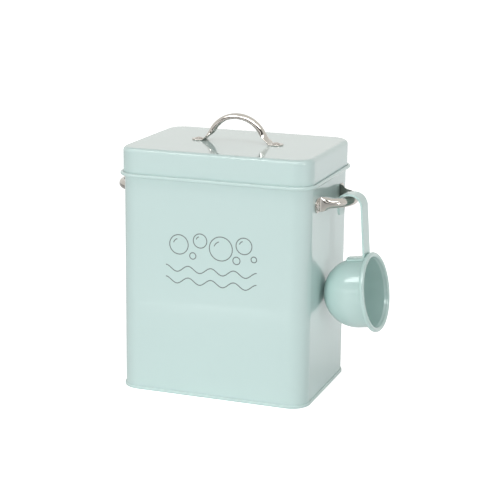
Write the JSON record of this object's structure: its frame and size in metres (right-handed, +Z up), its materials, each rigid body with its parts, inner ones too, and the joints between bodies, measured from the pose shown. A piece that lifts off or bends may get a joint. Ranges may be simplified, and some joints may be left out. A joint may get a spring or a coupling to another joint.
{
  "type": "laundry storage tin",
  "caption": "Rectangular enamelled storage tin with a lift-off lid, bow handles on lid and sides, and a scoop hooked on one side handle.",
  "frame": {"origin": "on the surface the tin stands on, at the middle of the whole object's box; the tin's own middle is 14.3 mm towards -X of it, because the scoop hangs at +X", "axes": "+Z up along the lid's lift, -Y out of the tin's front face, +X towards the handle with the hanging scoop"},
  "size_m": [0.2626, 0.1404, 0.255],
  "materials": {
    "mint_enamel": "glossy pale mint enamel on sheet steel",
    "scoop_enamel": "glossy pale mint enamel on pressed steel",
    "polished_steel": "polished stainless steel"
  },
  "bodies": {
    "tin": {"body_wall": "mint_enamel", "base_panel": "mint_enamel", "right_handle": "polished_steel", "right_rivets": "polished_steel", "left_handle": "polished_steel", "left_rivets": "polished_steel"},
    "lid": {"lid": "mint_enamel", "lid_handle": "polished_steel", "lid_rivets": "polished_steel"},
    "scoop": {"scoop_bowl": "scoop_enamel", "scoop_strap": "scoop_enamel"}
  },
  "joints": [
    {"name": "lid_lift", "type": "slide", "parent": "tin", "child": "lid", "axis": [0, 0, 1], "range_m": [0, 0.06]},
    {"name": "scoop_swing", "type": "hinge", "parent": "tin", "child": "scoop", "pos_m": [0.0938, -0.007, 0.1881], "axis": [-0.061, -0.9981, 0], "range_deg": [0, 18]}
  ]
}
